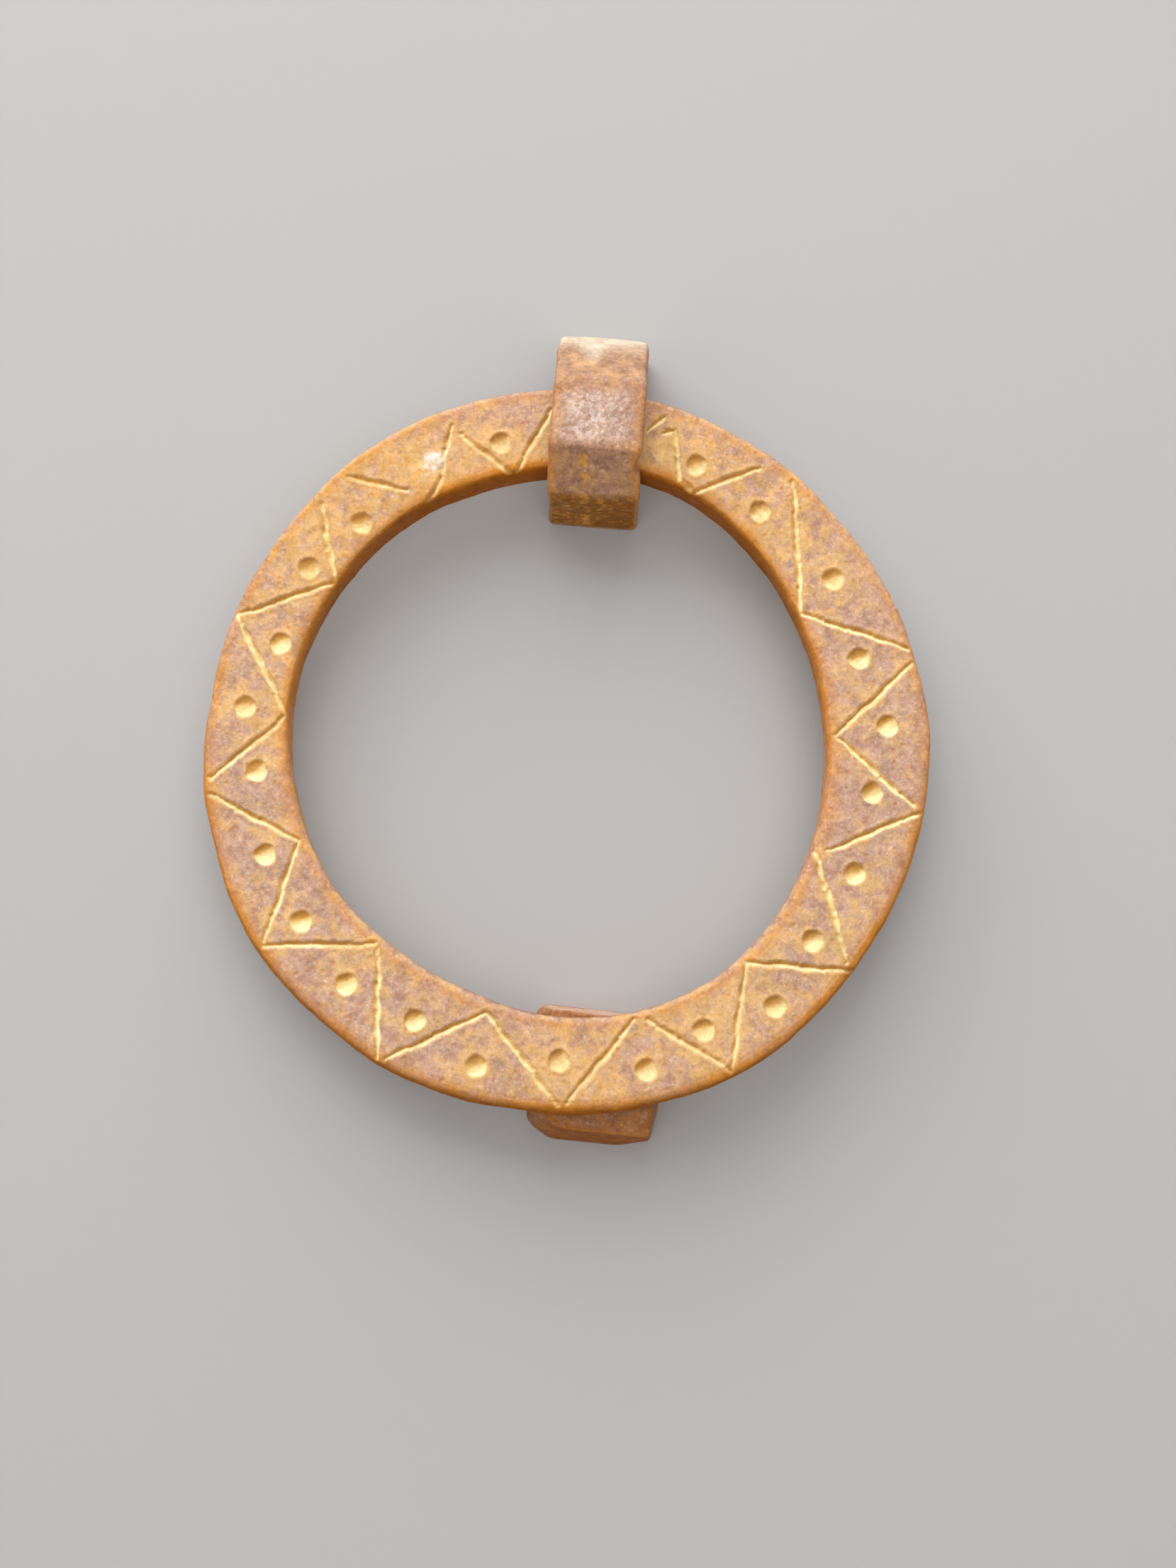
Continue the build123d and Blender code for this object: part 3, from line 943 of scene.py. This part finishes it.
def lay_skin(tree, shader, skin, light, height, strength, depth):
    """Gives the shader its colour, as light or dark as light says, and a relief of depth metres."""
    shade = place(tree, "ShaderNodeVectorMath", {0: skin, "Scale": light}, operation="SCALE").outputs[0]
    tree.links.new(shade, shader.inputs["Base Color"])
    bump = place(tree, "ShaderNodeBump", {"Height": height, "Strength": strength, "Distance": depth})
    tree.links.new(bump.outputs[0], shader.inputs["Normal"])


iron_gloss, iron_relief = 0.16, 0.00022
iron_grain, iron_pits = {"Grain size": 0.00055}, {"Spacing": 0.0015, "Share": 0.4}
# Each kind of patch: size in metres, cover, softness of its edges, and step of its seed.
patch_kinds = {
    "broad": (0.014, 0.5, 0.14, 0), "dark": (0.0014, 0.45, 0.12, 2), "flecks": (0.0008, 0.46, 0.06, 3),
    # The finest patches place painted glints.
    "glints": (0.0007, 0.26, 0.05, 4), "grits": (0.0013, 0.34, 0.07, 5), "breaks": (0.0017, 0.50, 0.05, 6),
}
fine_size, fine_softness, least_rust = 0.0022, 0.12, -0.18
to_cover = 0.35  # how much stains add to the rust
washed, dry = 0.45, -0.25  # the slopes that the rain always and never reaches
plain, lit = 0.24, -0.18  # how far a cut's wall faces from the light, or to it, to get none or all of the painted highlight
kept = ["up", "under", "lee", "arris", "wall", "cut", "stain", "streak", "rub", "dust_and_highlight", "indoors"]


def forged_iron(name, tints, rust_cover, seed, fleck, shade_slopes, contrast):
    """A rusted, hammered surface, in the tints of its iron, rust, cuts, arrises and what faces up,
    with painted shade, painted highlights and painted glints among them.

    The painted shade tint starts and is full at two slopes, from 0 upright to 1 facing the ground.
    """
    tints = {layer: colour(*tint) for layer, tint in tints.items()}
    material, tree, shader = new_finish(name)
    shader.inputs["Specular IOR Level"].default_value = iron_gloss
    read = [place(tree, "ShaderNodeAttribute", attribute_name=value).outputs["Fac"] for value in kept]
    up, under, lee, arris, wall, cut, stain, streak, rub, dust_and_highlight, indoors = read  # 0 where there is none
    kinds = [patches(tree, *spread, seed + step) for *spread, step in patch_kinds.values()]
    broad, dark, flecks, glints, grits, breaks = kinds
    tone, holes = use_group(tree, grain, iron_grain), use_group(tree, pits, iron_pits)

    # Fine rust gathers in broad stains and beside the cuts.
    cover = maths(tree, "ADD", product(tree, broad, to_cover), product(tree, stain, to_cover))
    cover = maths(tree, "ADD", cover, rust_cover + least_rust)
    fine = patches(tree, fine_size, cover, fine_softness, seed + 1)

    # Thick rust on the arrises and the walls that the rain doesn't wash, and painted shade on what faces
    # down.
    slope = maths(tree, "SUBTRACT", up, under)
    sheltered = ramp(tree, slope, washed, dry)
    edge = product(tree, arris, ramp(tree, broad, 0, 1, 0.45, 0.9), sheltered)
    on_wall = product(tree, ramp(tree, wall, 0, 0.35), sheltered)
    low_wall = product(tree, wall, ramp(tree, slope, 0.0, -0.5))
    below = ramp(tree, under, *shade_slopes, 0.0, 0.94)
    tints["shade_and_grit"] = blend(tree, product(tree, grits, 0.7), tints["painted_shade"], tints["grit"])

    # Yellow rust in the cuts, with a painted highlight where it faces the light and painted shade on the
    # far wall.
    powder_and_highlight = blend(tree, ramp(tree, lee, plain, lit), tints["cut"], tints["cut_highlight"])
    run_over = ramp(tree, stain, 1.05, 1.75, 0.0, 0.7)
    run_over = maths(tree, "MAXIMUM", run_over, ramp(tree, broad, 0.4, 1.0, 0.0, 0.5))
    tints["powder_and_highlight"] = blend(tree, run_over, powder_and_highlight, tints["rust"])
    in_cut = ramp(tree, cut, 0.05, 0.45)
    powdered = product(tree, in_cut, ramp(tree, dark, 0, 1, 1.0, 0.86))
    far_wall = product(tree, in_cut, ramp(tree, lee, 0.08, 0.48, 0.0, 0.72))

    # Rubbed places: bare wear on the ring, wear with a painted sheen on the strap's nose. What faces up
    # gets a tint of its own outside the cuts: pale dust with a painted highlight on the strap and the stud,
    # a darker tone on the ring.
    rubbed = product(tree, rub, fleck, ramp(tree, flecks, 0, 1, 0.3, 1.0))
    on_top = maths(tree, "MAXIMUM", maths(tree, "POWER", up, 6.0), dust_and_highlight)
    on_top = product(tree, on_top, ramp(tree, in_cut, 0, 1, 1, 0), ramp(tree, fine, 0, 1, 0.95, 0.65))

    # Each layer on the bare iron: where it lies, how much it hides there, and its tint.
    layers = [
        # The tiny pale spots are painted glints.
        (dark, 1, "deep_iron"), (fine, 0.85, "rust"), (glints, 0.45, "glint"), (holes, 0.45, "amber"),
        # The dark amber on the walls and surfaces that face down is painted shade.
        (edge, 1, "amber"), (on_wall, 0.9, "amber"), (low_wall, 1, "painted_shade"), (below, 1, "shade_and_grit"),
        # The yellow in the cuts carries a painted highlight, and the far-wall tint is painted shade.
        (powdered, 1, "powder_and_highlight"), (far_wall, 1, "cut_shade"), (product(tree, streak, breaks), 0.9, "streak"),
        # What faces up gets pale dust with a painted highlight on the strap and the stud, a darker tone on
        # the ring; the strap's worn nose also gets a painted sheen.
        (rubbed, 1, "fleck"), (on_top, 1, "top_tint"), (indoors, 0.8, "indoors"),
    ]
    skin = tints["iron"]
    for share, most, tint in layers:
        skin = blend(tree, share if most == 1 else product(tree, share, most), skin, tints[tint])

    # The grain makes the colour lighter and darker, and with the pits it makes the relief.
    rough = maths(tree, "ADD", ramp(tree, fine, 0, 1, 0.50, 0.80), product(tree, tone, 0.12), clamp=True)
    tree.links.new(rough, shader.inputs["Roughness"])
    height = maths(tree, "SUBTRACT", tone, product(tree, holes, 0.55))
    height = maths(tree, "ADD", height, product(tree, fine, 0.22))
    light = ramp(tree, tone, 0.32, 0.68, 1.0 - contrast, 1.0 + contrast)
    lay_skin(tree, shader, skin, light, height, 1.0, iron_relief)
    return material


# The colours as they look on a screen.
# Some tints stand for light: the brightest cut tint is a painted highlight, the tiny pale spots are painted
# glints, and the cut-shade and dark amber tints are painted shade.
ring_tints = {
    "iron": (200, 161, 138), "deep_iron": (176, 134, 112), "rust": (224, 178, 116),
    "glint": (232, 206, 182), "amber": (212, 134, 38), "cut": (228, 176, 94),
    "cut_highlight": (255, 242, 182), "cut_shade": (158, 100, 38), "painted_shade": (162, 90, 2),
    "grit": (126, 70, 10), "fleck": (244, 230, 212), "top_tint": (118, 70, 48),
    "streak": (216, 152, 62), "indoors": (104, 92, 84),
}
strap_tints = ring_tints | {
    "iron": (176, 132, 106), "deep_iron": (154, 112, 84), "rust": (198, 154, 108),
    "glint": (208, 176, 152), "amber": (204, 140, 68), "painted_shade": (144, 87, 4),
    "grit": (216, 156, 50), "fleck": (226, 204, 194), "top_tint": (214, 196, 172),
}
strike_tints = strap_tints | {
    "iron": (178, 126, 94), "deep_iron": (148, 98, 66), "rust": (196, 136, 72),
    "amber": (176, 110, 44), "top_tint": (214, 178, 156), "painted_shade": (150, 86, 24),
    "grit": (180, 110, 40),
}
ring_iron = forged_iron(
    "forged_ring_iron", ring_tints,
    rust_cover=0.38, seed=3.0, fleck=1.3, shade_slopes=(0.40, 0.85), contrast=0.24,
)
strap_iron = forged_iron(
    "forged_strap_iron", strap_tints,
    rust_cover=0.30, seed=7.0, fleck=0.75, shade_slopes=(0.78, 1.00), contrast=0.36,
)
strike_iron = forged_iron(
    "forged_strike_iron", strike_tints,
    rust_cover=0.38, seed=12.0, fleck=0.0, shade_slopes=(0.55, 0.95), contrast=0.30,
)
for piece, finish in ((ring, ring_iron), (staple, strap_iron), (stud, strike_iron)):
    piece.data.materials.append(finish)
print("forged materials:", [m.name for m in bpy.data.materials if m.name.startswith("forged")])

# %% [markdown]
# ## The fixings on the inner side
# The plates are blackened iron with rust starting, and the washers and nuts are dull steel. Their
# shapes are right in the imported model, so those pieces stay and only get a better finish.


# %% Plates, washers and nuts
steel_grain, steel_pits = {"Grain size": 0.0005}, {"Spacing": 0.0022, "Share": 0.3}
bloom_size, bloom_softness, bloom_roughness = 0.004, 0.12, 0.8
steel_relief = 0.00012


def metal(name, base, bloom, metallic, roughness, cover, seed):
    """Dull metal with patches of brown bloom."""
    material, tree, shader = new_finish(name)
    shader.inputs["Metallic"].default_value = metallic
    tone, holes = use_group(tree, grain, steel_grain), use_group(tree, pits, steel_pits)
    bloomed = patches(tree, bloom_size, cover, bloom_softness, seed)
    skin = blend(tree, bloomed, base, bloom)
    tree.links.new(ramp(tree, bloomed, 0, 1, roughness, bloom_roughness), shader.inputs["Roughness"])
    height = maths(tree, "SUBTRACT", tone, maths(tree, "MULTIPLY", holes, 0.5))
    light = ramp(tree, tone, 0.3, 0.7, 0.8, 1.2)
    lay_skin(tree, shader, skin, light, height, 0.8, steel_relief)
    return material


plate_finish = metal(
    "blackened_plate", base=colour(84, 78, 74), bloom=colour(138, 88, 52),
    metallic=0.55, roughness=0.5, cover=0.4, seed=31.0,
)
steel_finish = metal(
    "dull_steel", base=colour(168, 162, 154), bloom=colour(150, 112, 78),
    metallic=0.85, roughness=0.38, cover=0.3, seed=35.0,
)
for node_name, node in frame["nodes"].items():
    if node.hide_render:
        continue
    node.data.materials.clear()
    node.data.materials.append(plate_finish if "plate" in node_name else steel_finish)
    print(node_name, "keeps its shape, finish", node.data.materials[0].name)

# %% Sizes
low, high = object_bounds()
print("visual box, mm:", [round(v / MM, 1) for v in (*low, *high)])
